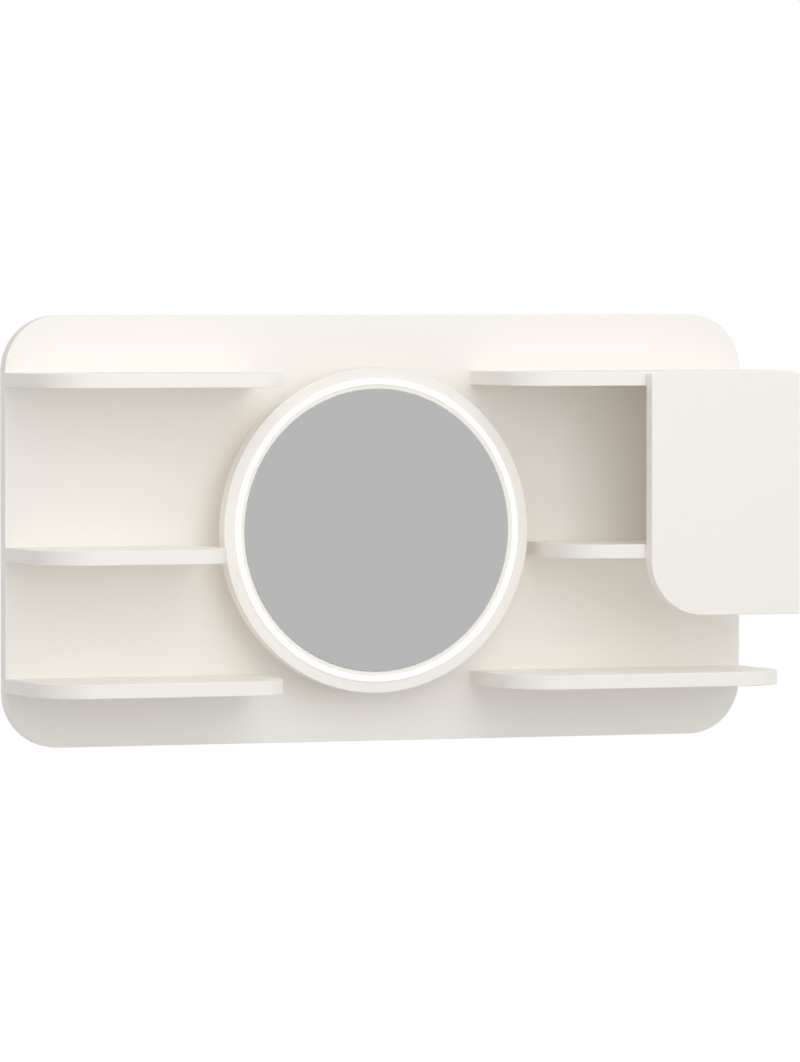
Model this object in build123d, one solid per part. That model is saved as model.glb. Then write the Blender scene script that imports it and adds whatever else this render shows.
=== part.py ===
from build123d import *
import os

# Wall-hung dressing table mirror: a board carries a round lit mirror, six shelves and a small door.
# Millimetres. X runs to the right, Y runs into the wall, Z runs up.
# The origin is the centre of the board's back face, so the wall is the plane Y = 0.

# Back panel
panel_width = 1000
panel_height = 540
panel_thickness = 18
panel_corner_radius = 70
edge_easing = 1.0

# Shelves
shelf_depth = 170
shelf_thickness = 18
shelf_corner_radius = 65
left_long_shelf = 326
left_short_shelf = 251
right_long_shelf = 375
right_short_shelf = 302
top_margin = 71
upper_bay_height = 200
lower_bay_height = 146

# Cabinet side and door
side_thickness = 18
door_thickness = 18
door_width = 204
door_gap = 2.0
door_side_reveal = 1.0
door_top_drop = 3.0
door_overhang = 72
door_corner_radius = 70

# Round mirror board, the ring that holds it off the panel, and the glass
mirror_offset_x = -25
mirror_offset_z = -1
mirror_board_thickness = 18
spacer_depth = 40
spacer_radius = 165
spacer_bore_radius = 90
spacer_tongue_width = 36
spacer_tongue_margin = 8
glass_radius = 178
glass_thickness = 4
glass_proud = 1.0
glass_clearance = 0.3
glass_bevel = 0.6
pad_thickness = 1.0
pad_radius = 15
pad_ring_radius = 125
pad_count = 6
rim_width = 4.7
rim_easing = 0.4
outer_rim_width = 13.5

# Light ring
groove_width = 9
groove_depth = 12
diffuser_clearance = 0.3
diffuser_wall = 1.0
diffuser_rise = 3.5
strip_thickness = 1.2
strip_clearance = 0.3
chip_size = 3.0
chip_height = 0.8
chip_count = 72

# Driver, its pocket and its cover
pocket_width = 42
pocket_height = 180
pocket_skin = 3.5
pocket_below_lead = 10
cover_thickness = 1.5
cover_overlap = 6
cover_clearance = 0.3
driver_width = 34
driver_height = 100
driver_headroom = 2
driver_easing = 1.5
driver_drop = 30
terminal_width = 30
terminal_height = 16
terminal_headroom = 4
terminal_drop = 7
terminal_count = 3
well_radius = 2.5
well_depth = 3
lead_radius = 1.5
lead_bend = 6
lead_clearance = 0.5
grommet_hole_radius = 5
grommet_bore_radius = 3.2
grommet_flange = 2
grommet_lip = 1.0

# Wall hangers
hanger_inset = 100
hanger_drop = 45
hanger_width = 44
hanger_height = 34
hanger_thickness = 2
hanger_corner_radius = 4
hanger_slot_length = 24
hanger_slot_radius = 2.75
hanger_entry_radius = 5.5
hanger_entry_drop = 6.5
hanger_pocket_depth = 7
hanger_pocket_margin = 2
hanger_screw_pitch = 35
hanger_clearance = 0.3

# Screws and dowels: head radius, shank radius, length, head depth
carcass_screw = (5.0, 3.3, 50, 3.0)
board_screw_head_radius = 4.0
board_screw_shank_radius = 2.2
board_screw_head_depth = 2.0
board_screw_cover = 3
plate_screw = (2.9, 1.5, 12, 1.5)
leaf_screw_head_radius = 2.3
leaf_screw_shank_radius = 1.2
leaf_screw_length = 12
screw_clearance = 0.1
screw_tip = 2.0
screw_tip_radius = 0.4
drive_share = 0.5
screw_end_inset = 40
dowel_radius = 4
dowel_length = 32
dowel_in_panel = 12
dowel_clearance = 0.1
side_dowel_in_shelf = 10
side_dowel_inset = 42
side_screw_inset = 50
board_screw_radius = 120
board_screw_count = 4
board_screw_angle = 45

# Door hinges
hinge_length = 50
hinge_end_inset = 10
leaf_thickness = 0.8
leaf_side_margin = 0.5
knuckle_radius = 2.2
knuckle_clearance = 0.3
knuckle_end_gap = 0.3
knuckle_count = 5
pin_radius = 1.1
pin_clearance = 0.05
leaf_screw_pitch = 17
leaf_screw_count = 3

# Magnetic catch and bumpers
catch_inset = 35
catch_width = 40
catch_height = 13
catch_depth = 16
catch_setback = 2.5
magnet_width = 20
magnet_height = 8
magnet_seat = 12
magnet_clearance = 0.2
strike_width = 24
strike_height = 14
strike_thickness = 1.2
strike_corner_radius = 1.2
strike_gap = 0.3
catch_screw_pitch = 31
bumper_radius = 3.5
bumper_inset = 8
bumper_gap = 0.3

# Planes and levels that follow from the sizes above
left_edge = -panel_width / 2
right_edge = panel_width / 2
panel_front = -panel_thickness
shelf_front = panel_front - shelf_depth
top_shelf_top = panel_height / 2 - top_margin
top_shelf_base = top_shelf_top - shelf_thickness
middle_shelf_top = top_shelf_base - upper_bay_height
middle_shelf_base = middle_shelf_top - shelf_thickness
bottom_shelf_top = middle_shelf_base - lower_bay_height
bottom_shelf_base = bottom_shelf_top - shelf_thickness
side_inner = right_edge - side_thickness
side_middle = right_edge - side_thickness / 2
door_back = shelf_front - door_gap
door_right = right_edge - door_side_reveal
door_left = door_right - door_width
door_top = top_shelf_top - door_top_drop
door_bottom = middle_shelf_base - door_overhang
board_back = panel_front - spacer_depth
board_front = board_back - mirror_board_thickness
glass_front = board_front - glass_proud
glass_back = glass_front + glass_thickness
recess_floor = glass_back + pad_thickness
recess_radius = glass_radius + glass_clearance
groove_inner = recess_radius + rim_width
groove_outer = groove_inner + groove_width
groove_middle = groove_inner + groove_width / 2
mirror_board_radius = groove_outer + outer_rim_width
groove_floor = board_front + groove_depth
lead_z = mirror_offset_z - groove_middle
pocket_bottom = lead_z - pocket_below_lead
pocket_top = pocket_bottom + pocket_height
pocket_middle = (pocket_top + pocket_bottom) / 2
pocket_floor = panel_front + pocket_skin
pocket_depth = -cover_thickness - pocket_floor
driver_thickness = pocket_depth - driver_headroom
terminal_thickness = pocket_depth - terminal_headroom
driver_top = pocket_top - driver_drop
driver_bottom = driver_top - driver_height
driver_middle_y = pocket_floor + driver_thickness / 2
terminal_z = pocket_top - terminal_drop - terminal_height / 2
hanger_x = panel_width / 2 - hanger_inset
hanger_z = panel_height / 2 - hanger_drop
hinge_axis_x = right_edge + knuckle_radius + knuckle_clearance
hinge_axis_y = shelf_front - door_gap / 2
hinge_levels = {
    "upper": top_shelf_base - hinge_end_inset - hinge_length / 2,
    "lower": middle_shelf_top + hinge_end_inset + hinge_length / 2,
}
catch_x = door_left + catch_inset + catch_width / 2
catch_front = shelf_front + catch_setback
magnet_z = top_shelf_base - catch_height / 2

# Each shelf: left end, right end, underside, and which front corners are round
shelf_plan = {
    "left_top_shelf": (left_edge, left_edge + left_long_shelf, top_shelf_base, "both"),
    "left_middle_shelf": (left_edge, left_edge + left_short_shelf, middle_shelf_base, "both"),
    "left_bottom_shelf": (left_edge, left_edge + left_long_shelf, bottom_shelf_base, "both"),
    "right_top_shelf": (right_edge - right_long_shelf, right_edge, top_shelf_base, "left"),
    "right_middle_shelf": (right_edge - right_short_shelf, right_edge, middle_shelf_base, "left"),
    "right_bottom_shelf": (right_edge - right_long_shelf, right_edge, bottom_shelf_base, "both"),
}


def towards_front(x, y, z):
    """A plane whose own Z points out of the wall, with X to the right and Y up."""
    return Plane(origin=(x, y, z), x_dir=(1, 0, 0), z_dir=(0, -1, 0))


def towards_wall(x, y, z):
    """A plane whose own Z points into the wall."""
    return Plane(origin=(x, y, z), x_dir=(-1, 0, 0), z_dir=(0, 1, 0))


def slab(outline, x, y_back, z, thickness):
    """A flat outline that starts at y_back and is extruded out of the wall."""
    return towards_front(x, y_back, z) * extrude(outline, amount=thickness)


def block(x_span, y_span, z_span):
    """A box between two values on each axis."""
    spans = (x_span, y_span, z_span)
    sizes = [max(span) - min(span) for span in spans]
    centre = [sum(span) / 2 for span in spans]
    return Pos(*centre) * Box(*sizes)


def standing_cylinder(radius, height):
    """A cylinder that stands on its plane's origin."""
    return Cylinder(radius, height, align=(Align.CENTER, Align.CENTER, Align.MIN))


def edges_on(shape, y):
    """The edges that lie wholly in the plane Y = y."""
    return shape.edges().filter_by_position(Axis.Y, y, y)


def screw(size, grow=0.0):
    """A countersunk screw that enters along its plane's Z; grow widens it into the hole that takes it."""
    head_radius, shank_radius, length, head_depth = size
    top, neck, shank = head_radius + grow, shank_radius + grow, length - head_depth - screw_tip
    head = Cone(top, neck, head_depth, align=(Align.CENTER, Align.CENTER, Align.MIN))
    body = head + Pos(0, 0, head_depth) * standing_cylinder(neck, shank)
    tip = Cone(neck, screw_tip_radius, screw_tip + grow, align=(Align.CENTER, Align.CENTER, Align.MIN))
    body += Pos(0, 0, head_depth + shank) * tip
    if grow == 0.0:
        body -= extrude(RegularPolygon(head_radius * drive_share, 6), amount=head_depth * drive_share)
    return body


def shelf_screw_points(name):
    """Where the carcass screws of a shelf pass through the back panel, as X and Z."""
    start, end, base, _ = shelf_plan[name]
    level = base + shelf_thickness / 2
    return [(x, level) for x in (start + screw_end_inset, (start + end) / 2, end - screw_end_inset)]


def shelf_dowel_points(name):
    """Where the dowels of a shelf stand, half way between its screws, as X and Z."""
    first, second, third = shelf_screw_points(name)
    return [((a[0] + b[0]) / 2, a[1]) for a, b in ((first, second), (second, third))]


def side_screw_points():
    """Where the cabinet side is screwed through the back panel, as X and Z."""
    levels = (top_shelf_base - side_screw_inset, middle_shelf_top + side_screw_inset)
    return [(side_middle, z) for z in levels]


def side_dowel_places():
    """Each dowel between the cabinet side and a shelf: Y of its axis and Z of its lower end."""
    rows = (panel_front - side_dowel_inset, shelf_front + side_dowel_inset)
    upper = top_shelf_base + side_dowel_in_shelf - dowel_length
    lower = middle_shelf_top - side_dowel_in_shelf
    return [(y, z) for y in rows for z in (upper, lower)]


def side_dowel(y, z, grow=0.0):
    """One upright dowel of the cabinet side, or the hole for it when grow is given."""
    height = dowel_length + 2 * grow
    return Pos(side_middle, y, z - grow) * standing_cylinder(dowel_radius + grow, height)


def board_screw_places():
    """Locations of the screws that hold the round board, on a circle seen from the front."""
    circle = PolarLocations(board_screw_radius, board_screw_count, start_angle=board_screw_angle)
    return [towards_front(mirror_offset_x, 0, mirror_offset_z) * spot for spot in circle]


def carcass_screws(grow=0.0):
    """Every screw from the back panel into a shelf or the cabinet side."""
    points = [point for name in shelf_plan for point in shelf_screw_points(name)] + side_screw_points()
    return [towards_front(x, 0, z) * screw(carcass_screw, grow) for x, z in points]


def shelf_dowels(grow=0.0):
    """Every dowel between the back panel and a shelf."""
    points = [point for name in shelf_plan for point in shelf_dowel_points(name)]
    start, length = panel_front + dowel_in_panel + grow, dowel_length + 2 * grow
    return [towards_front(x, start, z) * standing_cylinder(dowel_radius + grow, length) for x, z in points]


def board_screws(grow=0.0):
    """The long screws from the back panel through the spacer into the round board."""
    length = -recess_floor - board_screw_cover
    size = (board_screw_head_radius, board_screw_shank_radius, length, board_screw_head_depth)
    return [place * screw(size, grow) for place in board_screw_places()]


def hanger_screws(grow=0.0):
    """Two screws through each wall hanger."""
    offsets = (-hanger_screw_pitch / 2, hanger_screw_pitch / 2)
    points = [(side * hanger_x + offset) for side in (-1, 1) for offset in offsets]
    return [towards_front(x, 0, hanger_z) * screw(plate_screw, grow) for x in points]


def cover_screws(grow=0.0):
    """Four screws at the corners of the driver's cover."""
    half_width = pocket_width / 2 + cover_overlap / 2
    half_height = pocket_height / 2 + cover_overlap / 2
    spots = [(sx * half_width, sz * half_height) for sx in (-1, 1) for sz in (-1, 1)]
    size = (plate_screw[0], plate_screw[1], plate_screw[2], cover_thickness)
    return [
        towards_front(mirror_offset_x + dx, 0, pocket_middle + dz) * screw(size, grow) for dx, dz in spots
    ]


def cover_size(grow=0.0):
    """Width and height of the driver's cover, or of its seat when grow is given."""
    border = 2 * cover_overlap + 2 * grow
    return pocket_width + border, pocket_height + border


def back_panel():
    """The rounded board that everything hangs on, with its pockets and screw holes."""
    outline = RectangleRounded(panel_width, panel_height, panel_corner_radius)
    panel = slab(outline, 0, 0, 0, panel_thickness)
    panel = fillet(edges_on(panel, panel_front) + edges_on(panel, 0), edge_easing)
    seat = Rectangle(*cover_size(cover_clearance))
    panel -= slab(seat, mirror_offset_x, 0, pocket_middle, cover_thickness)
    pocket = Rectangle(pocket_width, pocket_height)
    panel -= slab(pocket, mirror_offset_x, 0, pocket_middle, -pocket_floor)
    lead_hole = standing_cylinder(lead_radius + lead_clearance, panel_thickness)
    panel -= towards_front(mirror_offset_x, 0, lead_z) * lead_hole
    cuts = [hanger_seat(side) for side in (-1, 1)] + shelf_dowels(dowel_clearance)
    cuts += carcass_screws(screw_clearance) + board_screws(screw_clearance)
    cuts += hanger_screws(screw_clearance) + cover_screws(screw_clearance)
    return panel - cuts


def hanger_seat(side):
    """The recess for one hanger plate and the deeper pocket for the wall screw's head."""
    width, height = hanger_width + 2 * hanger_clearance, hanger_height + 2 * hanger_clearance
    seat = slab(Rectangle(width, height), side * hanger_x, 0, hanger_z, hanger_thickness)
    pocket_wide = hanger_slot_length + 2 * (hanger_entry_radius - hanger_slot_radius)
    pocket_low = hanger_entry_drop + hanger_entry_radius + hanger_pocket_margin
    pocket_high = hanger_entry_radius + hanger_pocket_margin
    centre = hanger_z + (pocket_high - pocket_low) / 2
    pocket = Rectangle(pocket_wide, pocket_high + pocket_low)
    depth = hanger_thickness + hanger_pocket_depth
    return seat + slab(pocket, side * hanger_x, 0, centre, depth)


def hanger_plate(side):
    """A steel plate with a level slot and a round entry below it for the wall screw's head."""
    outline = RectangleRounded(hanger_width, hanger_height, hanger_corner_radius)
    outline -= SlotOverall(hanger_slot_length, 2 * hanger_slot_radius)
    outline -= Pos(0, -hanger_entry_drop) * Circle(hanger_entry_radius)
    return slab(outline, side * hanger_x, 0, hanger_z, hanger_thickness) - hanger_screws(screw_clearance)


def shelf(name):
    """A shelf with round front corners, its eased edges, and the holes for its screws and dowels."""
    start, end, base, rounded = shelf_plan[name]
    plan = Pos((start + end) / 2, panel_front - shelf_depth / 2) * Rectangle(end - start, shelf_depth)
    front = plan.vertices().sort_by(Axis.Y)[:2].sort_by(Axis.X)
    plan = fillet(front if rounded == "both" else front[:1], shelf_corner_radius)
    board = Pos(0, 0, base) * extrude(plan, amount=shelf_thickness)
    exposed = [edge for edge in board.edges() if edge.center().Y < panel_front - edge_easing]
    if rounded == "both":
        exposed = [edge for edge in exposed if abs(edge.tangent_at(0.5).Z) < 0.5]
    else:
        square_x = end - edge_easing
        exposed = [e for e in exposed if abs(e.tangent_at(0.5).Z) < 0.5 or e.center().X > square_x]
    board = fillet(exposed, edge_easing)
    bore = screw(carcass_screw, screw_clearance)
    cuts = [towards_front(x, 0, z) * bore for x, z in shelf_screw_points(name)]
    start_y = panel_front + dowel_in_panel
    hole = standing_cylinder(dowel_radius + dowel_clearance, dowel_length + dowel_clearance)
    cuts += [towards_front(x, start_y, z) * hole for x, z in shelf_dowel_points(name)]
    if name in ("right_top_shelf", "right_middle_shelf"):
        cuts += [side_dowel(y, z, dowel_clearance) for y, z in side_dowel_places()]
    if name == "right_top_shelf":
        cuts += catch_screws(screw_clearance)
    return board - cuts


def cabinet_side():
    """The upright board behind the door, between the top and middle shelves."""
    x_span, y_span = (side_inner, right_edge), (shelf_front, panel_front)
    side = block(x_span, y_span, (middle_shelf_top, top_shelf_base))
    upright = side.edges().filter_by(Axis.Z).sort_by(Axis.Y)[:2]
    side = fillet(upright, edge_easing)
    bore = screw(carcass_screw, screw_clearance)
    cuts = [towards_front(x, 0, z) * bore for x, z in side_screw_points()]
    cuts += [side_dowel(y, z, dowel_clearance) for y, z in side_dowel_places()]
    return side - (cuts + leaf_screws("side", screw_clearance))


def door():
    """The overlay door with one large round corner and holes for its fittings."""
    centre_x, centre_z = (door_left + door_right) / 2, (door_top + door_bottom) / 2
    outline = Rectangle(door_width, door_top - door_bottom)
    low_left = outline.vertices().sort_by(Axis.Y)[:2].sort_by(Axis.X)[:1]
    outline = fillet(low_left, door_corner_radius)
    panel = slab(outline, centre_x, door_back, centre_z, door_thickness)
    panel = fillet(panel.edges(), edge_easing)
    return panel - (leaf_screws("door", screw_clearance) + [strike_screw(screw_clearance)])


def ring_profile(points):
    """A closed profile of radius and Y values, turned about the mirror's axis."""
    corners = [(mirror_offset_x + radius, y) for radius, y in points]
    face = make_face(Polyline(*corners, close=True))
    axis = Axis((mirror_offset_x, 0, mirror_offset_z), (0, 1, 0))
    return revolve(Pos(0, 0, mirror_offset_z) * face, axis=axis)


def mirror_board():
    """The round board: a recess for the glass, a rim round it and the groove for the light."""
    board = ring_profile([
        (0, board_back),
        (mirror_board_radius, board_back),
        (mirror_board_radius, board_front),
        (groove_outer, board_front),
        (groove_outer, groove_floor),
        (groove_inner, groove_floor),
        (groove_inner, board_front),
        (recess_radius, board_front),
        (recess_radius, recess_floor),
        (0, recess_floor),
    ])
    circles = edges_on(board, board_front).sort_by(SortBy.RADIUS)
    board = fillet(circles[-1:], edge_easing)
    circles = edges_on(board, board_front).sort_by(SortBy.RADIUS)
    board = fillet(circles[:-1], rim_easing)
    lead_hole = standing_cylinder(lead_radius + lead_clearance, mirror_board_thickness)
    lead_hole = towards_front(mirror_offset_x, board_back, lead_z) * lead_hole
    return board - ([lead_hole] + board_screws(screw_clearance))


def mirror_spacer():
    """The ring between the panel and the round board, with a tongue that the lead passes through."""
    outline = Circle(spacer_radius)
    tongue_base = lead_z - mirror_offset_z - spacer_tongue_margin
    outline += Pos(0, tongue_base / 2) * Rectangle(spacer_tongue_width, -tongue_base)
    outline -= Circle(spacer_bore_radius)
    spacer = slab(outline, mirror_offset_x, panel_front, mirror_offset_z, spacer_depth)
    lead_hole = standing_cylinder(lead_radius + lead_clearance, spacer_depth)
    lead_hole = towards_front(mirror_offset_x, panel_front, lead_z) * lead_hole
    return spacer - ([lead_hole] + board_screws(screw_clearance))


def mirror_glass():
    """The silvered glass disc with its bevelled front edge."""
    outline = [
        (0, glass_back),
        (glass_radius, glass_back),
        (glass_radius, glass_front + glass_bevel),
        (glass_radius - glass_bevel, glass_front),
        (0, glass_front),
    ]
    return ring_profile(outline)


def adhesive_pads():
    """Round pads that bond the glass to the floor of its recess."""
    ring = PolarLocations(pad_ring_radius, pad_count)
    pads = [spot * standing_cylinder(pad_radius, pad_thickness) for spot in ring]
    return [towards_front(mirror_offset_x, recess_floor, mirror_offset_z) * pad for pad in pads]


def light_diffuser():
    """The opal cover of the light: two thin legs in the groove under a domed top."""
    inner, outer = groove_inner + diffuser_clearance, groove_outer - diffuser_clearance
    x_in, x_out = mirror_offset_x + inner, mirror_offset_x + outer
    crest = ((x_in + x_out) / 2, board_front - diffuser_rise)
    dome = ThreePointArc((x_in, board_front), crest, (x_out, board_front))
    walls = Polyline((x_out, board_front), (x_out, groove_floor), (x_in, groove_floor), (x_in, board_front))
    hollow_middle = (board_front + diffuser_wall + groove_floor) / 2
    hollow_height = groove_floor - board_front - diffuser_wall
    hollow = Rectangle(outer - inner - 2 * diffuser_wall, hollow_height)
    face = make_face(dome + walls) - Pos(crest[0], hollow_middle) * hollow
    axis = Axis((mirror_offset_x, 0, mirror_offset_z), (0, 1, 0))
    return revolve(Pos(0, 0, mirror_offset_z) * face, axis=axis)


def strip_radii():
    """Inner and outer radius of the strip, just inside the diffuser's legs."""
    margin = diffuser_clearance + diffuser_wall + strip_clearance
    return groove_inner + margin, groove_outer - margin


def led_strip():
    """The ring-shaped circuit on the floor of the groove."""
    inner, outer = strip_radii()
    outline = Circle(outer) - Circle(inner)
    return slab(outline, mirror_offset_x, groove_floor, mirror_offset_z, strip_thickness)


def led_chips():
    """The lamps along the strip, one small block each."""
    ring = PolarLocations(groove_middle, chip_count)
    chip = Box(chip_size, chip_size, chip_height, align=(Align.CENTER, Align.CENTER, Align.MIN))
    plane = towards_front(mirror_offset_x, groove_floor - strip_thickness, mirror_offset_z)
    return [plane * (spot * chip) for spot in ring]


def led_lead():
    """The low-voltage lead: down from the driver, one bend, then forward to the strip."""
    start = (mirror_offset_x, driver_middle_y, driver_bottom)
    corner = (mirror_offset_x, driver_middle_y, lead_z)
    end = (mirror_offset_x, groove_floor, lead_z)
    path = FilletPolyline(start, corner, end, radius=lead_bend)
    section = Plane(origin=start, z_dir=(0, 0, -1)) * Circle(lead_radius)
    return sweep(section, path=path)


def led_driver():
    """The driver in its pocket, with eased corners."""
    half = driver_width / 2
    x_span = (mirror_offset_x - half, mirror_offset_x + half)
    y_span = (pocket_floor, pocket_floor + driver_thickness)
    driver = block(x_span, y_span, (driver_bottom, driver_top))
    return fillet(driver.edges().filter_by(Axis.Z), driver_easing)


def terminal_block():
    """The mains terminals above the driver, with a row of screw wells."""
    half = terminal_width / 2
    x_span = (mirror_offset_x - half, mirror_offset_x + half)
    y_span = (pocket_floor, pocket_floor + terminal_thickness)
    half_height = terminal_height / 2
    body = block(x_span, y_span, (terminal_z - half_height, terminal_z + half_height))
    well = standing_cylinder(well_radius, well_depth)
    face = towards_wall(mirror_offset_x, pocket_floor + terminal_thickness - well_depth, terminal_z)
    spots = GridLocations(terminal_width / terminal_count, half_height, terminal_count, 2)
    return body - [face * (spot * well) for spot in spots]


def driver_cover():
    """The cover over the driver's pocket, flush with the back of the panel."""
    cover = slab(Rectangle(*cover_size()), mirror_offset_x, 0, pocket_middle, cover_thickness)
    hole = standing_cylinder(grommet_hole_radius, cover_thickness)
    hole = towards_front(mirror_offset_x, 0, terminal_z) * hole
    return cover - ([hole] + cover_screws(screw_clearance))


def cable_grommet():
    """The rubber ring that lines the supply cable's hole, with a lip inside the cover."""
    ring = Circle(grommet_hole_radius) - Circle(grommet_bore_radius)
    lip = Circle(grommet_hole_radius + grommet_flange) - Circle(grommet_bore_radius)
    body = slab(ring, mirror_offset_x, 0, terminal_z, cover_thickness)
    return body + slab(lip, mirror_offset_x, -cover_thickness, terminal_z, grommet_lip)


def knuckle_spans(member):
    """The Z spans, from the hinge's middle, of the knuckles that belong to the side or to the door."""
    pitch = hinge_length / knuckle_count
    first = 1 if member == "side" else 0
    half_gap = knuckle_end_gap / 2
    spans = []
    for index in range(first, knuckle_count, 2):
        low = -hinge_length / 2 + index * pitch
        spans.append((low + half_gap, low + pitch - half_gap))
    return spans


def hinge_leaf(member, level):
    """One leaf with its knuckles: the side's leaf on the front edge, the door's on the back face."""
    if member == "side":
        y_span, bore = (shelf_front - leaf_thickness, shelf_front), pin_radius
    else:
        y_span, bore = (door_back, door_back + leaf_thickness), pin_radius + pin_clearance
    inner, outer = side_inner + leaf_side_margin, right_edge - leaf_side_margin
    leaf = block((inner, outer), y_span, (level - hinge_length / 2, level + hinge_length / 2))
    for low, high in knuckle_spans(member):
        tab = block((outer, hinge_axis_x), y_span, (level + low, level + high))
        barrel = standing_cylinder(knuckle_radius, high - low)
        leaf += tab + Pos(hinge_axis_x, hinge_axis_y, level + low) * barrel
    bottom = level - hinge_length / 2
    pin_hole = Pos(hinge_axis_x, hinge_axis_y, bottom) * standing_cylinder(bore, hinge_length)
    return leaf - ([pin_hole] + leaf_screws(member, screw_clearance))


def hinge_pin(level):
    """The pin through all knuckles of one hinge."""
    bottom = level - hinge_length / 2
    return Pos(hinge_axis_x, hinge_axis_y, bottom) * standing_cylinder(pin_radius, hinge_length)


def leaf_screws(member, grow=0.0):
    """The screws of both hinges, into the cabinet side or into the door."""
    size = (leaf_screw_head_radius, leaf_screw_shank_radius, leaf_screw_length, leaf_thickness)
    middle = (leaf_screw_count - 1) / 2
    places = []
    for level in hinge_levels.values():
        for index in range(leaf_screw_count):
            z = level + (index - middle) * leaf_screw_pitch
            if member == "side":
                places.append(towards_wall(side_middle, shelf_front - leaf_thickness, z))
            else:
                places.append(towards_front(side_middle, door_back + leaf_thickness, z))
    return [place * screw(size, grow) for place in places]


def magnet_block(grow=0.0):
    """The magnet, which stands out of its housing towards the door."""
    half_width, half_height = magnet_width / 2 + grow, magnet_height / 2 + grow
    front = door_back + strike_thickness + strike_gap
    back = catch_front + magnet_seat + grow
    z_span = (magnet_z - half_height, magnet_z + half_height)
    return block((catch_x - half_width, catch_x + half_width), (front, back), z_span)


def catch_screws(grow=0.0):
    """The two upright screws that hold the catch under the top shelf."""
    y, z = catch_front + catch_depth / 2, top_shelf_base - catch_height
    offsets = (-catch_screw_pitch / 2, catch_screw_pitch / 2)
    size = (plate_screw[0], plate_screw[1], catch_height + plate_screw[2], plate_screw[3])
    return [Pos(catch_x + offset, y, z) * screw(size, grow) for offset in offsets]


def catch_housing():
    """The plastic body of the magnetic catch under the top shelf."""
    x_span = (catch_x - catch_width / 2, catch_x + catch_width / 2)
    y_span = (catch_front, catch_front + catch_depth)
    housing = block(x_span, y_span, (top_shelf_base - catch_height, top_shelf_base))
    housing = fillet(housing.edges().filter_by(Axis.Z), edge_easing)
    return housing - ([magnet_block(magnet_clearance)] + catch_screws(screw_clearance))


def strike_screw(grow=0.0):
    """The screw in the middle of the strike plate."""
    size = (plate_screw[0], plate_screw[1], plate_screw[2], strike_thickness)
    return towards_front(catch_x, door_back + strike_thickness, magnet_z) * screw(size, grow)


def strike_plate():
    """The steel plate on the back of the door that the magnet holds."""
    outline = RectangleRounded(strike_width, strike_height, strike_corner_radius)
    plate = slab(outline, catch_x, door_back + strike_thickness, magnet_z, strike_thickness)
    return plate - strike_screw(screw_clearance)


def door_bumpers():
    """Two soft discs on the back of the door that meet the front edges of the shelves."""
    x, start = door_left + bumper_inset, shelf_front - bumper_gap
    levels = (top_shelf_base + shelf_thickness / 2, middle_shelf_base + shelf_thickness / 2)
    disc = standing_cylinder(bumper_radius, door_gap - bumper_gap)
    return [towards_front(x, start, z) * disc for z in levels]


def all_parts():
    """Every sub-part by name."""
    parts = {
        "back_panel": back_panel(),
        "cabinet_side": cabinet_side(),
        "door": door(),
        "mirror_board": mirror_board(),
        "mirror_spacer": mirror_spacer(),
        "mirror_glass": mirror_glass(),
        "mirror_adhesive_pads": adhesive_pads(),
        "light_diffuser": light_diffuser(),
        "led_strip": led_strip(),
        "led_chips": led_chips(),
        "led_lead": led_lead(),
        "led_driver": led_driver(),
        "terminal_block": terminal_block(),
        "driver_cover": driver_cover(),
        "cover_screws": cover_screws(),
        "cable_grommet": cable_grommet(),
        "left_hanger_plate": hanger_plate(-1),
        "right_hanger_plate": hanger_plate(1),
        "hanger_screws": hanger_screws(),
        "carcass_screws": carcass_screws(),
        "shelf_dowels": shelf_dowels(),
        "side_dowels": [side_dowel(y, z) for y, z in side_dowel_places()],
        "mirror_board_screws": board_screws(),
        "hinge_screws_side": leaf_screws("side"),
        "hinge_screws_door": leaf_screws("door"),
        "catch_housing": catch_housing(),
        "catch_magnet": magnet_block(),
        "catch_screws": catch_screws(),
        "strike_plate": strike_plate(),
        "strike_screw": strike_screw(),
        "door_bumpers": door_bumpers(),
    }
    for name in shelf_plan:
        parts[name] = shelf(name)
    for name, level in hinge_levels.items():
        parts[name + "_hinge_side_leaf"] = hinge_leaf("side", level)
        parts[name + "_hinge_door_leaf"] = hinge_leaf("door", level)
        parts[name + "_hinge_pin"] = hinge_pin(level)
    return parts


os.makedirs("parts", exist_ok=True)
for name, shape in all_parts().items():
    solids = shape if isinstance(shape, list) else [shape]
    whole = Compound(children=solids) if len(solids) > 1 else solids[0]
    export_step(whole, f"parts/{name}.step")
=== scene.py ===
import math

import bpy
import numpy as np
from bpy.props import FloatProperty, FloatVectorProperty, IntProperty, PointerProperty
from bpy.types import Operator, Panel, PropertyGroup
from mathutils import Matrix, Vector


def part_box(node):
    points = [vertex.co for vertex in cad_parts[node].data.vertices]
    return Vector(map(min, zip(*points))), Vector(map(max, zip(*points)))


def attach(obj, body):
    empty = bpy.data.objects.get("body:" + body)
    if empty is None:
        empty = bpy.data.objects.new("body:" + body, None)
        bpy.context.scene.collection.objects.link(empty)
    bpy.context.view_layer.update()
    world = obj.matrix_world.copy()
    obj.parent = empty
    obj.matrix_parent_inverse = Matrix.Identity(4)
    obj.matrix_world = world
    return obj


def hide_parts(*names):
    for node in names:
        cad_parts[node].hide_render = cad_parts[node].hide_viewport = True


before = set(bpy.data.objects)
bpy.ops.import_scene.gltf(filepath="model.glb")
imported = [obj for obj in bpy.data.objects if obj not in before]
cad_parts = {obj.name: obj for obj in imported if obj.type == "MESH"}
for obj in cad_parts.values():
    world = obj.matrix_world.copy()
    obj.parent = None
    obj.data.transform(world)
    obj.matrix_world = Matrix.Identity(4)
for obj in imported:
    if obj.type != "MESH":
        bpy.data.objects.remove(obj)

bl_info = {
    "name": "Dressing Table Mirror",
    "version": (1, 0, 0),
    "blender": (4, 5, 0),
    "location": "View3D > Sidebar > Dressing Mirror",
    "description": "Finishes a wall-hung dressing mirror: boards, silvered glass, light ring and fittings",
    "category": "Object",
}

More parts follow.
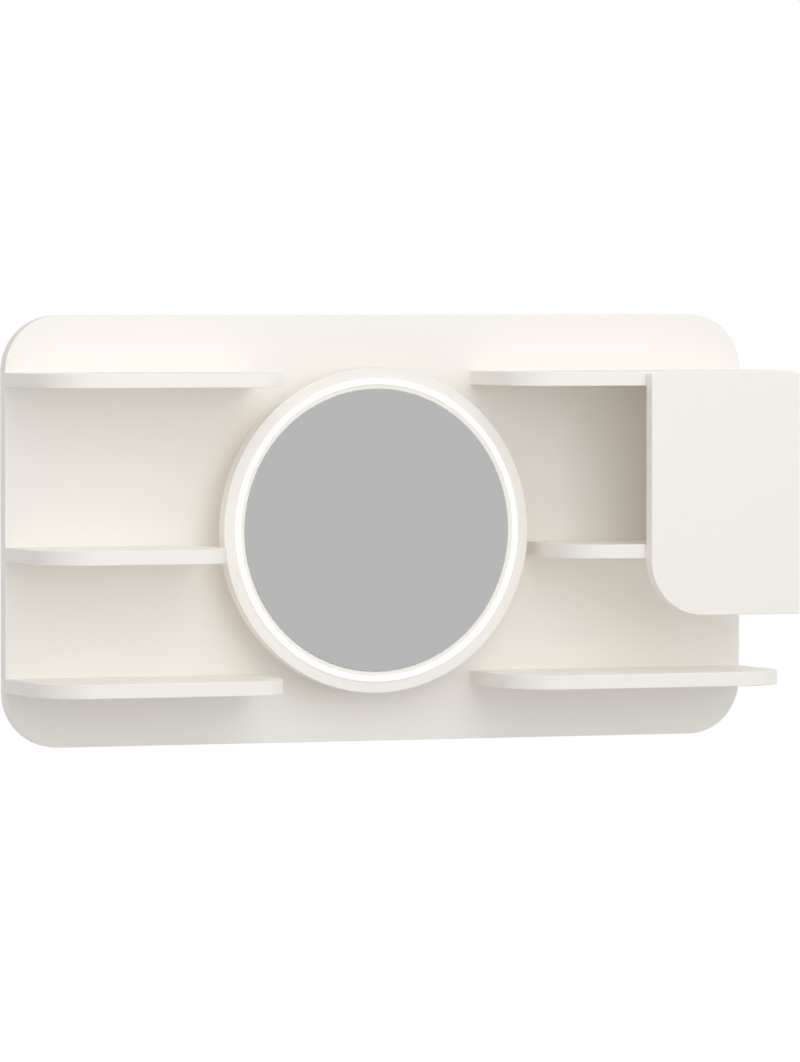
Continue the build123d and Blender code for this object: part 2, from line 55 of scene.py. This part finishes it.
MM = 0.001
GLASS_LOW, GLASS_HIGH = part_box("mirror_glass")
RING_LOW, RING_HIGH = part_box("light_diffuser")
BOARD_LOW, BOARD_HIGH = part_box("mirror_board")
AXIS_X = (BOARD_LOW.x + BOARD_HIGH.x) / 2
AXIS_Z = (BOARD_LOW.z + BOARD_HIGH.z) / 2
OPAL_WALL = 1 * MM
ARRIS_STEPS = 5
FLOOR_HALF = 12.0
FLOOR_COLOUR = (0.72, 0.72, 0.71, 1)
WHITE = (1, 1, 1, 1)
LAMPS = (
    ("front lamp", "front_lamp", (0, -4.0, 1.0), 2.6),
    ("top lamp", "top_lamp", (0, -2.2, 2.6), 2.4),
    ("left lamp", "left_lamp", (-2.4, -1.6, 2.4), 2.2),
    ("right lamp", "right_lamp", (2.4, -1.6, 2.4), 2.2),
)

LACQUERED = (
    "back_panel", "left_top_shelf", "left_middle_shelf", "left_bottom_shelf", "right_top_shelf",
    "right_middle_shelf", "right_bottom_shelf", "cabinet_side", "mirror_board", "mirror_spacer", "door",
)
NICKELLED = (
    "upper_hinge_side_leaf", "lower_hinge_side_leaf", "upper_hinge_door_leaf", "lower_hinge_door_leaf",
    "upper_hinge_pin", "lower_hinge_pin", "hinge_screws_side", "hinge_screws_door", "strike_plate",
    "strike_screw",
)
ZINC_PLATED = (
    "left_hanger_plate", "right_hanger_plate", "hanger_screws", "carcass_screws", "mirror_board_screws",
    "cover_screws", "catch_screws",
)
MOULDED = ("driver_cover", "led_driver", "catch_housing", "terminal_block")
SOFT_RUBBER = ("cable_grommet",)
BEECH = ("shelf_dowels", "side_dowels")


# Settings that a user would change


class PaintSettings(PropertyGroup):
    """The lacquer on the boards."""

    colour: FloatVectorProperty(
        name="Lacquer", description="Colour of the white lacquer", subtype="COLOR", size=3, min=0, max=1,
        default=(0.951, 0.922, 0.876),
    )
    # Painted shade: faces that lie level get a trace darker lacquer colour than upright faces.
    level_shade_colour: FloatVectorProperty(
        name="Level lacquer", description="Colour of the lacquer on faces that lie level", subtype="COLOR",
        size=3, min=0, max=1, default=(0.948, 0.919, 0.872),
    )
    roughness: FloatProperty(
        name="Roughness", description="How matt the lacquer is", subtype="FACTOR", min=0, max=1, default=0.42,
    )
    peel_size: FloatProperty(
        name="Peel size", description="Width of the ripples that a spray gun leaves", unit="LENGTH",
        min=0.0005, max=0.02, default=0.0032,
    )
    peel_height: FloatProperty(
        name="Peel height", description="Height of those ripples", unit="LENGTH", min=0, max=0.0002,
        default=0.000006,
    )


class GlassSettings(PropertyGroup):
    """The silvered glass."""

    silver: FloatVectorProperty(
        name="Silver", description="Colour that the silvered glass reflects", subtype="COLOR", size=3,
        min=0, max=1, default=(0.472, 0.472, 0.472),
    )
    edge: FloatVectorProperty(
        name="Ground edge", description="Colour of the ground edge of the glass", subtype="COLOR", size=3,
        min=0, max=1, default=(0.55, 0.60, 0.57),
    )
    back_paint: FloatVectorProperty(
        name="Back paint", description="Colour of the paint that protects the silver", subtype="COLOR",
        size=3, min=0, max=1, default=(0.30, 0.31, 0.32),
    )
    bevel: FloatProperty(
        name="Bevel", description="Width of the bevel round the front", unit="LENGTH", min=0.0002, max=0.002,
        default=0.0006,
    )
    segments: IntProperty(name="Segments", description="Steps round the disc", min=64, max=720, default=360)


class LightRingSettings(PropertyGroup):
    """The lit ring round the glass."""

    glow: FloatVectorProperty(
        name="Glow", description="Colour of the light", subtype="COLOR", size=3, min=0, max=1,
        default=(1.0, 0.99, 0.965),
    )
    strength: FloatProperty(
        name="Strength", description="How strongly the ring glows at its crest", min=0, max=10, default=0.36,
    )
    rim_strength: FloatProperty(
        name="Rim strength", description="How strongly it glows beside the board", min=0, max=10, default=0.16,
    )
    segments: IntProperty(name="Segments", description="Steps round the ring", min=64, max=720, default=360)
    dome_steps: IntProperty(name="Dome steps", description="Steps over the dome", min=4, max=48, default=16)


class FittingSettings(PropertyGroup):
    """Hinges, screws, plastic parts and dowels."""

    nickel: FloatVectorProperty(
        name="Nickel", description="Colour of the nickel plating", subtype="COLOR", size=3, min=0, max=1,
        default=(0.66, 0.64, 0.60),
    )
    zinc: FloatVectorProperty(
        name="Zinc", description="Colour of the zinc plating", subtype="COLOR", size=3, min=0, max=1,
        default=(0.60, 0.61, 0.63),
    )
    plastic: FloatVectorProperty(
        name="Plastic", description="Colour of the moulded plastic", subtype="COLOR", size=3, min=0, max=1,
        default=(0.80, 0.80, 0.78),
    )
    rubber: FloatVectorProperty(
        name="Rubber", description="Colour of the cable ring", subtype="COLOR", size=3, min=0, max=1,
        default=(0.03, 0.03, 0.03),
    )


class StageSettings(PropertyGroup):
    """Camera, floor and lamps."""

    camera_place: FloatVectorProperty(
        name="Camera place", description="Where the camera stands", subtype="TRANSLATION", unit="LENGTH",
        size=3, default=(-3.697, -9.442, 0.311),
    )
    camera_turn: FloatProperty(
        name="Camera turn", description="Angle from straight at the wall towards the right", unit="ROTATION",
        default=math.radians(21.572),
    )
    camera_dip: FloatProperty(
        name="Camera dip", description="Angle below the horizon", unit="ROTATION", default=math.radians(1.782),
    )
    lens: FloatProperty(
        name="Lens", description="Focal length of the camera in millimetres", min=20, max=600, default=270.7,
    )
    floor_drop: FloatProperty(
        name="Floor drop", description="How far the floor lies below the board's centre", unit="LENGTH",
        min=0.5, max=3, default=1.25,
    )
    bounces: IntProperty(
        name="Bounces", description="How often light is followed from white board to white board", min=1,
        max=12, default=8,
    )
    side_light: FloatProperty(
        name="Side light", description="Strength of the even light from the left and the right", min=0, max=5,
        default=0.925,
    )
    side_lean: FloatProperty(
        name="Side lean", description="How much stronger that light is from the right", min=-1, max=1,
        default=0.175,
    )
    front_light: FloatProperty(
        name="Front light", description="Strength of the even light from the front", min=0, max=5, default=0.31,
    )
    back_light: FloatProperty(
        name="Back light", description="Strength of the even light from behind the wall", min=0, max=5,
        default=0.35,
    )
    floor_lift: FloatProperty(
        name="Floor lift", description="White added to the floor where it is looked at", min=0, max=1,
        default=0.7,
    )
    front_lamp: FloatProperty(
        name="Front lamp", description="Power of the lamp in front in watts", min=0, max=2000, default=35.0,
    )
    top_lamp: FloatProperty(
        name="Top lamp", description="Power of the lamp above the front in watts", min=0, max=2000,
        default=24.0,
    )
    left_lamp: FloatProperty(
        name="Left lamp", description="Power of the lamp at the upper left in watts", min=0, max=2000,
        default=7.7,
    )
    right_lamp: FloatProperty(
        name="Right lamp", description="Power of the lamp at the upper right in watts", min=0, max=2000,
        default=2.6,
    )


# Helpers for materials


def add_node(tree, kind, links=None, **values):
    """Adds a shader node, sets its fields and unlinked inputs by name, and links the others."""
    node = tree.nodes.new(kind)
    for name, value in values.items():
        if hasattr(node, name):
            setattr(node, name, value)
        else:
            node.inputs[name.replace("_", " ")].default_value = value
    for name, socket in (links or {}).items():
        tree.links.new(socket, node.inputs[name])
    return node


def new_material(name, **values):
    """A material with a Principled shader; returns it, its tree, the shader and object coordinates."""
    material = bpy.data.materials.new(name)
    material.use_nodes = True
    tree = material.node_tree
    shader = tree.nodes["Principled BSDF"]
    for key, value in values.items():
        shader.inputs[key.replace("_", " ")].default_value = value
    place = add_node(tree, "ShaderNodeTexCoord").outputs["Object"]
    return material, tree, shader, place


def noise(tree, place, size, detail=2.0, roughness=0.5):
    """A noise whose lumps are about size metres wide."""
    return add_node(
        tree, "ShaderNodeTexNoise", {"Vector": place}, Scale=1 / size, Detail=detail, Roughness=roughness
    )


def remap(tree, value, low, high, start=0.3, end=0.7):
    """Maps a value from the range start to end onto the range low to high."""
    node = add_node(tree, "ShaderNodeMapRange", {"Value": value})
    for name, number in (("From Min", start), ("From Max", end), ("To Min", low), ("To Max", high)):
        node.inputs[name].default_value = number
    return node.outputs["Result"]


def mix_colour(tree, factor, first, second):
    """Blends two colours by a factor. Either may be a colour or a socket that gives one."""
    node = add_node(tree, "ShaderNodeMix", {"Factor": factor}, data_type="RGBA")
    inputs = [socket for socket in node.inputs if socket.type == "RGBA"]
    for socket, colour in zip(inputs, (first, second)):
        if isinstance(colour, bpy.types.NodeSocket):
            tree.links.new(colour, socket)
        else:
            socket.default_value = (*colour, 1)
    return next(socket for socket in node.outputs if socket.type == "RGBA")


def add_bump(tree, shader, height, distance, strength=1.0):
    """Bumps the shader's surface by a height from 0 to 1 that spans distance metres."""
    node = add_node(tree, "ShaderNodeBump", {"Height": height}, Strength=strength, Distance=distance)
    tree.links.new(node.outputs["Normal"], shader.inputs["Normal"])


def shades(colour, amount):
    """Two shades a little darker and a little lighter than a colour."""
    return [tuple(min(part * (1 + sign * amount), 1.0) for part in colour) for sign in (-1, 1)]


def finish_nodes(names, material):
    """Puts one material on the named CAD nodes."""
    for name in names:
        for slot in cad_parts[name].material_slots:
            slot.material = material


# Helpers for meshes


def ring_points(radii, depths, segments):
    """Points of a profile turned about the mirror's axis.

    Point (i, j) is at angle t = 2 pi j / segments: x = AXIS_X + r_i cos t, y = y_i, z = AXIS_Z + r_i sin t.
    """
    angle = 2 * np.pi * np.arange(segments) / segments
    x = AXIS_X + np.outer(radii, np.cos(angle))
    z = AXIS_Z + np.outer(radii, np.sin(angle))
    y = np.repeat(np.asarray(depths, float)[:, None], segments, axis=1)
    return np.stack([x, y, z], axis=-1)


def grid_faces(rows, columns, closed_rows):
    """Quads between the rows of a grid whose columns close on themselves, and whose rows may too."""
    row = np.arange(rows if closed_rows else rows - 1)[:, None]
    column = np.arange(columns)[None, :]
    after_row, after_column = (row + 1) % rows, (column + 1) % columns
    corners = [row * columns + column, after_row * columns + column]
    corners += [after_row * columns + after_column, row * columns + after_column]
    return np.stack([np.broadcast_to(c, (len(row), columns)) for c in corners], axis=-1).reshape(-1, 4)


def glass_profile(glass):
    """Radii and depths of the glass from its flat front, over a rounded arris, to its back.

    With R the radius, b the bevel, f the front and t from 0 to a quarter turn, the arris is
    r = R - b + b sin t and y = f + b - b cos t.
    """
    radius = (GLASS_HIGH.x - GLASS_LOW.x) / 2
    arris = np.linspace(0, np.pi / 2, ARRIS_STEPS)
    radii = np.append(radius - glass.bevel + glass.bevel * np.sin(arris), radius)
    depths = np.append(GLASS_LOW.y + glass.bevel - glass.bevel * np.cos(arris), GLASS_HIGH.y)
    return radii, depths


def opal_profile(light, middle):
    """Radii and depths of the opal ring: a dome outside, and a channel open at the back inside.

    With m the middle radius, h half the width, f the board's face, c the crest and t from 0 to half
    a turn, the dome is r = m - h cos t and y = f + (c - f) sin t. The walls are OPAL_WALL thick.
    """
    outer = (RING_HIGH.x - RING_LOW.x) / 2
    half = outer - middle
    inner = middle - half
    face, crest, floor = BOARD_LOW.y, RING_LOW.y, RING_HIGH.y
    dome = np.linspace(0, np.pi, light.dome_steps)
    channel_outer, channel_inner, roof = outer - OPAL_WALL, inner + OPAL_WALL, face + OPAL_WALL
    channel = [outer, channel_outer, channel_outer, channel_inner, channel_inner, inner]
    radii = np.concatenate([middle - half * np.cos(dome), channel])
    depths = np.concatenate([face + (crest - face) * np.sin(dome), [floor, floor, roof, roof, floor, floor]])
    return radii, depths


def add_piece(name, points, faces, materials, body, face_material=None, sharp=math.radians(40)):
    """Makes a mesh object from arrays, riding on a body. Its quads are smooth up to the sharp angle.

    Flat faces with more corners stay flat, so that a bevel beside them doesn't bend what they reflect.
    """
    mesh = bpy.data.meshes.new(name)
    mesh.from_pydata(points.reshape(-1, 3).tolist(), [], [list(face) for face in faces])
    for material in materials:
        mesh.materials.append(material)
    if face_material is not None:
        mesh.polygons.foreach_set("material_index", np.asarray(face_material, np.int32))
    mesh.set_sharp_from_angle(angle=sharp)
    mesh.polygons.foreach_set("use_smooth", np.array([len(face) == 4 for face in faces]))
    mesh.update()
    piece = bpy.data.objects.new(name, mesh)
    bpy.context.scene.collection.objects.link(piece)
    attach(piece, body)
    return piece


# Materials


def lacquer_material(paint):
    """Satin white lacquer: sprayed ripples, a faint cloudiness, and painted shade that makes level faces a
    trace less white.
    """
    material, tree, shader, place = new_material("satin white lacquer", Specular_IOR_Level=0.35)
    cloud = noise(tree, place, 0.16, detail=3)
    facing = add_node(tree, "ShaderNodeNewGeometry")
    split = add_node(tree, "ShaderNodeSeparateXYZ", {"Vector": facing.outputs["Normal"]})
    # Painted shade: how level a face lies, taken from its normal, sets how far it is mixed towards the darker
    # level colour.
    level = add_node(tree, "ShaderNodeMath", {0: split.outputs["Z"]}, operation="ABSOLUTE")
    dark, light = shades(paint.colour, 0.006)
    body = mix_colour(tree, cloud.outputs["Fac"], dark, light)
    colour = mix_colour(tree, level.outputs[0], body, paint.level_shade_colour)
    tree.links.new(colour, shader.inputs["Base Color"])
    gloss = noise(tree, place, 0.035, detail=2)
    spread = remap(tree, gloss.outputs["Fac"], paint.roughness - 0.04, paint.roughness + 0.04)
    tree.links.new(spread, shader.inputs["Roughness"])
    peel = noise(tree, place, paint.peel_size, detail=1.5)
    add_bump(tree, shader, peel.outputs["Fac"], paint.peel_height)
    return material


def silver_material(glass):
    """Silver behind flat glass: a clear reflection with a grey cast."""
    material, tree, shader, place = new_material("silvered glass", Metallic=1.0, Roughness=0.0)
    haze = noise(tree, place, 0.25, detail=2)
    dark, light = shades(glass.silver, 0.004)
    tree.links.new(mix_colour(tree, haze.outputs["Fac"], dark, light), shader.inputs["Base Color"])
    return material


def ground_edge_material(glass):
    """The ground and polished edge of the glass, with fine scratches round it."""
    material, tree, shader, place = new_material("ground glass edge", Roughness=0.22)
    grain = noise(tree, place, 0.0012, detail=2)
    dark, light = shades(glass.edge, 0.06)
    tree.links.new(mix_colour(tree, grain.outputs["Fac"], dark, light), shader.inputs["Base Color"])
    add_bump(tree, shader, grain.outputs["Fac"], 0.00001)
    return material


def back_paint_material(glass):
    """The rolled paint that protects the silver behind the glass."""
    material, tree, shader, place = new_material("mirror back paint", Roughness=0.6)
    grain = noise(tree, place, 0.004, detail=3)
    dark, light = shades(glass.back_paint, 0.08)
    tree.links.new(mix_colour(tree, grain.outputs["Fac"], dark, light), shader.inputs["Base Color"])
    add_bump(tree, shader, grain.outputs["Fac"], 0.00002)
    return material


def opal_material(light):
    """Opal plastic lit from behind: brightest at the crest of its dome and softer beside the board."""
    material, tree, shader, place = new_material("lit opal plastic", Roughness=0.35)
    shader.inputs["Base Color"].default_value = (0.93, 0.92, 0.90, 1)
    split = add_node(tree, "ShaderNodeSeparateXYZ", {"Vector": place})
    face, crest = BOARD_LOW.y, RING_LOW.y
    rise = remap(tree, split.outputs["Y"], light.rim_strength, light.strength, start=face, end=crest)
    flicker = noise(tree, place, 0.012, detail=1)
    ripple = remap(tree, flicker.outputs["Fac"], 0.985, 1.015)
    glow = add_node(tree, "ShaderNodeMath", {0: rise, 1: ripple}, operation="MULTIPLY")
    tree.links.new(glow.outputs[0], shader.inputs["Emission Strength"])
    shader.inputs["Emission Color"].default_value = (*light.glow, 1)
    return material


def plated_material(name, colour, roughness, grain_size):
    """Plated steel: a fine directional grain and slight differences in gloss."""
    material, tree, shader, place = new_material(name, Metallic=1.0, Roughness=roughness)
    stretch = add_node(tree, "ShaderNodeMapping", {"Vector": place})
    stretch.inputs["Scale"].default_value = (1, 1, 0.06)
    grain = noise(tree, stretch.outputs["Vector"], grain_size, detail=3)
    dark, light = shades(colour, 0.05)
    tree.links.new(mix_colour(tree, grain.outputs["Fac"], dark, light), shader.inputs["Base Color"])
    spread = remap(tree, grain.outputs["Fac"], roughness - 0.05, roughness + 0.07)
    tree.links.new(spread, shader.inputs["Roughness"])
    add_bump(tree, shader, grain.outputs["Fac"], 0.000004)
    return material


def zinc_material(fittings):
    """Bright zinc plating, with the pale flakes that it dries in."""
    material, tree, shader, place = new_material("bright zinc", Metallic=1.0, Roughness=0.34)
    flakes = add_node(tree, "ShaderNodeTexVoronoi", {"Vector": place}, Scale=400.0)
    dark, light = shades(fittings.zinc, 0.07)
    tree.links.new(mix_colour(tree, flakes.outputs["Distance"], light, dark), shader.inputs["Base Color"])
    spread = remap(tree, flakes.outputs["Distance"], 0.28, 0.42, start=0, end=1)
    tree.links.new(spread, shader.inputs["Roughness"])
    return material


def grained_material(name, colour, roughness, grain_size, height, amount=0.02):
    """Moulded plastic or rubber with the fine grain of its mould."""
    material, tree, shader, place = new_material(name, Roughness=roughness)
    grain = noise(tree, place, grain_size, detail=2, roughness=0.6)
    dark, light = shades(colour, amount)
    tree.links.new(mix_colour(tree, grain.outputs["Fac"], dark, light), shader.inputs["Base Color"])
    add_bump(tree, shader, grain.outputs["Fac"], height)
    return material


def beech_material():
    """Beech with short darker flecks along the dowel."""
    material, tree, shader, place = new_material("beech", Roughness=0.55)
    stretch = add_node(tree, "ShaderNodeMapping", {"Vector": place})
    stretch.inputs["Scale"].default_value = (1, 0.12, 1)
    grain = noise(tree, stretch.outputs["Vector"], 0.0014, detail=4)
    colour = mix_colour(tree, grain.outputs["Fac"], (0.50, 0.33, 0.19), (0.68, 0.50, 0.32))
    tree.links.new(colour, shader.inputs["Base Color"])
    add_bump(tree, shader, grain.outputs["Fac"], 0.00003)
    return material


def circuit_material():
    """White solder mask with copper pads in a row along the strip."""
    material, tree, shader, place = new_material("white solder mask", Roughness=0.38)
    pads = add_node(tree, "ShaderNodeTexVoronoi", {"Vector": place}, Scale=180.0, distance="CHEBYCHEV")
    pad = remap(tree, pads.outputs["Distance"], 1, 0, start=0.18, end=0.22)
    colour = mix_colour(tree, pad, (0.82, 0.82, 0.80), (0.72, 0.40, 0.20))
    tree.links.new(colour, shader.inputs["Base Color"])
    return material


def phosphor_material(light):
    """Yellow phosphor under clear resin, lit."""
    material, tree, shader, place = new_material("led phosphor", Roughness=0.15)
    speckle = noise(tree, place, 0.0004, detail=2)
    colour = mix_colour(tree, speckle.outputs["Fac"], (0.82, 0.66, 0.18), (0.90, 0.80, 0.34))
    tree.links.new(colour, shader.inputs["Base Color"])
    shader.inputs["Emission Color"].default_value = (*light.glow, 1)
    shader.inputs["Emission Strength"].default_value = light.strength
    return material


# Operators, one for each piece or group of like pieces


class MIRROR_OT_lacquer_boards(Operator):
    """Lacquer the board, shelves, cupboard side, round board and door"""

    bl_idname = "dressing_mirror.lacquer_boards"
    bl_label = "Lacquer boards"

    def execute(self, context):
        finish_nodes(LACQUERED, lacquer_material(context.scene.mirror_paint))
        return {"FINISHED"}


class MIRROR_OT_silver_glass(Operator):
    """Make the silvered disc with its bevel, ground edge and painted back"""

    bl_idname = "dressing_mirror.silver_glass"
    bl_label = "Silvered glass"

    def execute(self, context):
        glass = context.scene.mirror_glass
        radii, depths = glass_profile(glass)
        points = ring_points(radii, depths, glass.segments)
        sides = grid_faces(len(radii), glass.segments, False)
        last = (len(radii) - 1) * glass.segments
        front_face = list(range(glass.segments))
        back_face = [last + index for index in reversed(range(glass.segments))]
        faces = [front_face, back_face, *sides.tolist()]
        kinds = [0, 2] + [1] * len(sides)
        materials = [silver_material(glass), ground_edge_material(glass), back_paint_material(glass)]
        disc = add_piece(
            "mirror_glass_disc", points, faces, materials, "wall_unit", kinds
        )
        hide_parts("mirror_glass")
        foam = grained_material("foam tape", (0.84, 0.84, 0.82), 0.8, 0.0008, 0.0001)
        finish_nodes(("mirror_adhesive_pads",), foam)
        return {"FINISHED"}


class MIRROR_OT_light_ring(Operator):
    """Make the domed opal ring, and finish the circuit, its lamps and their lead"""

    bl_idname = "dressing_mirror.light_ring"
    bl_label = "Light ring"

    def execute(self, context):
        light = context.scene.mirror_light
        radii, depths = opal_profile(light, self.middle_radius())
        points = ring_points(radii, depths, light.segments)
        faces = grid_faces(len(radii), light.segments, True)
        ring = add_piece(
            "lit_diffuser_ring", points, faces, [opal_material(light)], "wall_unit"
        )
        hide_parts("light_diffuser")
        finish_nodes(("led_strip",), circuit_material())
        finish_nodes(("led_chips",), phosphor_material(light))
        cable = grained_material("white insulation", (0.82, 0.82, 0.80), 0.4, 0.001, 0.00001)
        finish_nodes(("led_lead",), cable)
        return {"FINISHED"}

    def middle_radius(self):
        """Radius of the middle of the groove, which the strip lies on."""
        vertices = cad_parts["led_strip"].data.vertices
        outline = np.zeros(3 * len(vertices))
        vertices.foreach_get("co", outline)
        points = outline.reshape(-1, 3)
        distance = np.hypot(points[:, 0] - AXIS_X, points[:, 2] - AXIS_Z)
        return (distance.min() + distance.max()) / 2


class MIRROR_OT_fittings(Operator):
    """Finish the hinges, screws, hangers, catch, driver, bumpers and dowels"""

    bl_idname = "dressing_mirror.fittings"
    bl_label = "Fittings"

    def execute(self, context):
        fittings = context.scene.mirror_fittings
        finish_nodes(NICKELLED, plated_material("satin nickel", fittings.nickel, 0.26, 0.0008))
        finish_nodes(ZINC_PLATED, zinc_material(fittings))
        finish_nodes(MOULDED, grained_material("moulded plastic", fittings.plastic, 0.45, 0.0006, 0.00002))
        finish_nodes(SOFT_RUBBER, grained_material("black rubber", fittings.rubber, 0.7, 0.0008, 0.00003, 0.2))
        bumper = grained_material("clear bumper", (0.70, 0.70, 0.68), 0.3, 0.002, 0.00001)
        finish_nodes(("door_bumpers",), bumper)
        ferrite = grained_material("ferrite", (0.09, 0.09, 0.10), 0.5, 0.0005, 0.00003, 0.2)
        finish_nodes(("catch_magnet",), ferrite)
        finish_nodes(BEECH, beech_material())
        return {"FINISHED"}


class MIRROR_OT_stage(Operator):
    """Set up the camera, the pale floor, the lamps and the even light all round"""

    bl_idname = "dressing_mirror.stage"
    bl_label = "Stage"

    def execute(self, context):
        stage = context.scene.mirror_stage
        scene = context.scene
        scene.view_settings.view_transform = "Standard"
        scene.cycles.diffuse_bounces = stage.bounces
        self.add_camera(scene, stage)
        self.add_floor(scene, stage)
        self.add_world(scene, stage)
        for name, setting, place, size in LAMPS:
            self.add_lamp(scene, name, getattr(stage, setting), place, size)
        return {"FINISHED"}

    def add_camera(self, scene, stage):
        """A camera that looks along its turn and dip."""
        camera = bpy.data.objects.new("camera", bpy.data.cameras.new("camera"))
        scene.collection.objects.link(camera)
        camera.location = stage.camera_place
        camera.rotation_euler = (math.pi / 2 - stage.camera_dip, 0, -stage.camera_turn)
        camera.data.lens = stage.lens
        camera.data.clip_start, camera.data.clip_end = 0.1, 100
        scene.camera = camera

    def add_floor(self, scene, stage):
        """A pale floor: white to the camera apart from the object's shadow."""
        half, level = FLOOR_HALF, -stage.floor_drop
        mesh = bpy.data.meshes.new("floor")
        corners = [(-half, -half, level), (half, -half, level), (half, half, level), (-half, half, level)]
        mesh.from_pydata(corners, [], [(0, 1, 2, 3)])
        floor = bpy.data.objects.new("floor", mesh)
        scene.collection.objects.link(floor)
        material = bpy.data.materials.new("pale floor")
        material.use_nodes = True
        tree = material.node_tree
        tree.nodes.clear()
        rays = add_node(tree, "ShaderNodeLightPath")
        seen = self.seen_rays(tree, rays)
        diffuse = add_node(tree, "ShaderNodeBsdfDiffuse")
        diffuse.inputs["Color"].default_value = FLOOR_COLOUR
        lift = add_node(tree, "ShaderNodeEmission", Strength=stage.floor_lift)
        both = add_node(tree, "ShaderNodeAddShader", {0: diffuse.outputs[0], 1: lift.outputs[0]})
        mix = add_node(tree, "ShaderNodeMixShader", {0: seen, 1: diffuse.outputs[0], 2: both.outputs[0]})
        add_node(tree, "ShaderNodeOutputMaterial", {"Surface": mix.outputs[0]})
        mesh.materials.append(material)

    def add_world(self, scene, stage):
        """White behind the object and in its reflections, and a graded light for everything else.

        The graded light towards (x, y, z) is side_light |x| + side_lean x, plus front_light times -y in
        front of the wall and back_light times y behind it.
        """
        world = bpy.data.worlds.new("studio")
        world.use_nodes = True
        tree = world.node_tree
        tree.nodes.clear()
        rays = add_node(tree, "ShaderNodeLightPath")
        seen = self.seen_rays(tree, rays)
        place = add_node(tree, "ShaderNodeTexCoord").outputs["Generated"]
        split = add_node(tree, "ShaderNodeSeparateXYZ", {"Vector": place})
        terms = (
            self.slope(tree, split.outputs["X"], stage.side_light + stage.side_lean),
            self.slope(tree, split.outputs["X"], stage.side_lean - stage.side_light),
            self.slope(tree, split.outputs["Y"], -stage.front_light),
            self.slope(tree, split.outputs["Y"], stage.back_light),
        )
        total = terms[0]
        for term in terms[1:]:
            total = add_node(tree, "ShaderNodeMath", {0: total, 1: term}, operation="ADD").outputs[0]
        graded = add_node(tree, "ShaderNodeBackground", {"Strength": total})
        white = add_node(tree, "ShaderNodeBackground", Strength=1.0)
        for shader in (graded, white):
            shader.inputs["Color"].default_value = WHITE
        mix = add_node(tree, "ShaderNodeMixShader", {0: seen, 1: graded.outputs[0], 2: white.outputs[0]})
        add_node(tree, "ShaderNodeOutputWorld", {"Surface": mix.outputs[0]})
        scene.world = world

    def slope(self, tree, part, strength):
        """A light that grows with one part of its direction on one side and is nothing on the other."""
        grown = add_node(tree, "ShaderNodeMath", {0: part}, operation="MULTIPLY")
        grown.inputs[1].default_value = strength
        kept = add_node(tree, "ShaderNodeMath", {0: grown.outputs[0]}, operation="MAXIMUM")
        kept.inputs[1].default_value = 0
        return kept.outputs[0]

    def seen_rays(self, tree, rays):
        """1 for a ray from the camera, in a reflection or through glass, and 0 for one that only lights."""
        first = add_node(
            tree, "ShaderNodeMath", {0: rays.outputs["Is Camera Ray"], 1: rays.outputs["Is Glossy Ray"]},
            operation="MAXIMUM",
        )
        both = add_node(
            tree, "ShaderNodeMath", {0: first.outputs[0], 1: rays.outputs["Is Transmission Ray"]},
            operation="MAXIMUM",
        )
        return both.outputs[0]

    def add_lamp(self, scene, name, power, place, size):
        """A square soft lamp that points at the board's centre."""
        data = bpy.data.lights.new(name, "AREA")
        data.energy, data.shape, data.size = power, "SQUARE", size
        lamp = bpy.data.objects.new(name, data)
        scene.collection.objects.link(lamp)
        lamp.location = place
        distance = math.hypot(*place)
        pitch = math.acos(place[2] / distance)
        turn = math.atan2(place[0], -place[1])
        lamp.rotation_euler = (pitch, 0, turn)


class MIRROR_PT_panel(Panel):
    """Settings and steps of the dressing mirror"""

    bl_label = "Dressing Mirror"
    bl_idname = "MIRROR_PT_panel"
    bl_space_type = "VIEW_3D"
    bl_region_type = "UI"
    bl_category = "Dressing Mirror"

    def draw(self, context):
        scene = context.scene
        for operator, settings in STEPS:
            box = self.layout.box()
            box.operator(operator.bl_idname)
            group = getattr(scene, settings)
            for name in group.__annotations__:
                box.prop(group, name)


GROUPS = {
    "mirror_paint": PaintSettings,
    "mirror_glass": GlassSettings,
    "mirror_light": LightRingSettings,
    "mirror_fittings": FittingSettings,
    "mirror_stage": StageSettings,
}
STEPS = (
    (MIRROR_OT_lacquer_boards, "mirror_paint"),
    (MIRROR_OT_silver_glass, "mirror_glass"),
    (MIRROR_OT_light_ring, "mirror_light"),
    (MIRROR_OT_fittings, "mirror_fittings"),
    (MIRROR_OT_stage, "mirror_stage"),
)
CLASSES = (*GROUPS.values(), *(operator for operator, settings in STEPS), MIRROR_PT_panel)


def register():
    """Registers the classes and hangs the settings on the scene."""
    for item in CLASSES:
        bpy.utils.register_class(item)
    for name, group in GROUPS.items():
        setattr(bpy.types.Scene, name, PointerProperty(type=group))


def unregister():
    """Takes the settings off the scene and the classes out again."""
    for name in GROUPS:
        delattr(bpy.types.Scene, name)
    for item in reversed(CLASSES):
        bpy.utils.unregister_class(item)


def corners(box):
    """A box as plain lists of numbers."""
    return [list(corner) for corner in box]


def main():
    """Runs every step in order."""
    register()
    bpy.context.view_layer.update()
    for operator, settings in STEPS:
        group, name = operator.bl_idname.split(".")
        getattr(getattr(bpy.ops, group), name)()


if __name__ == "__main__":
    main()
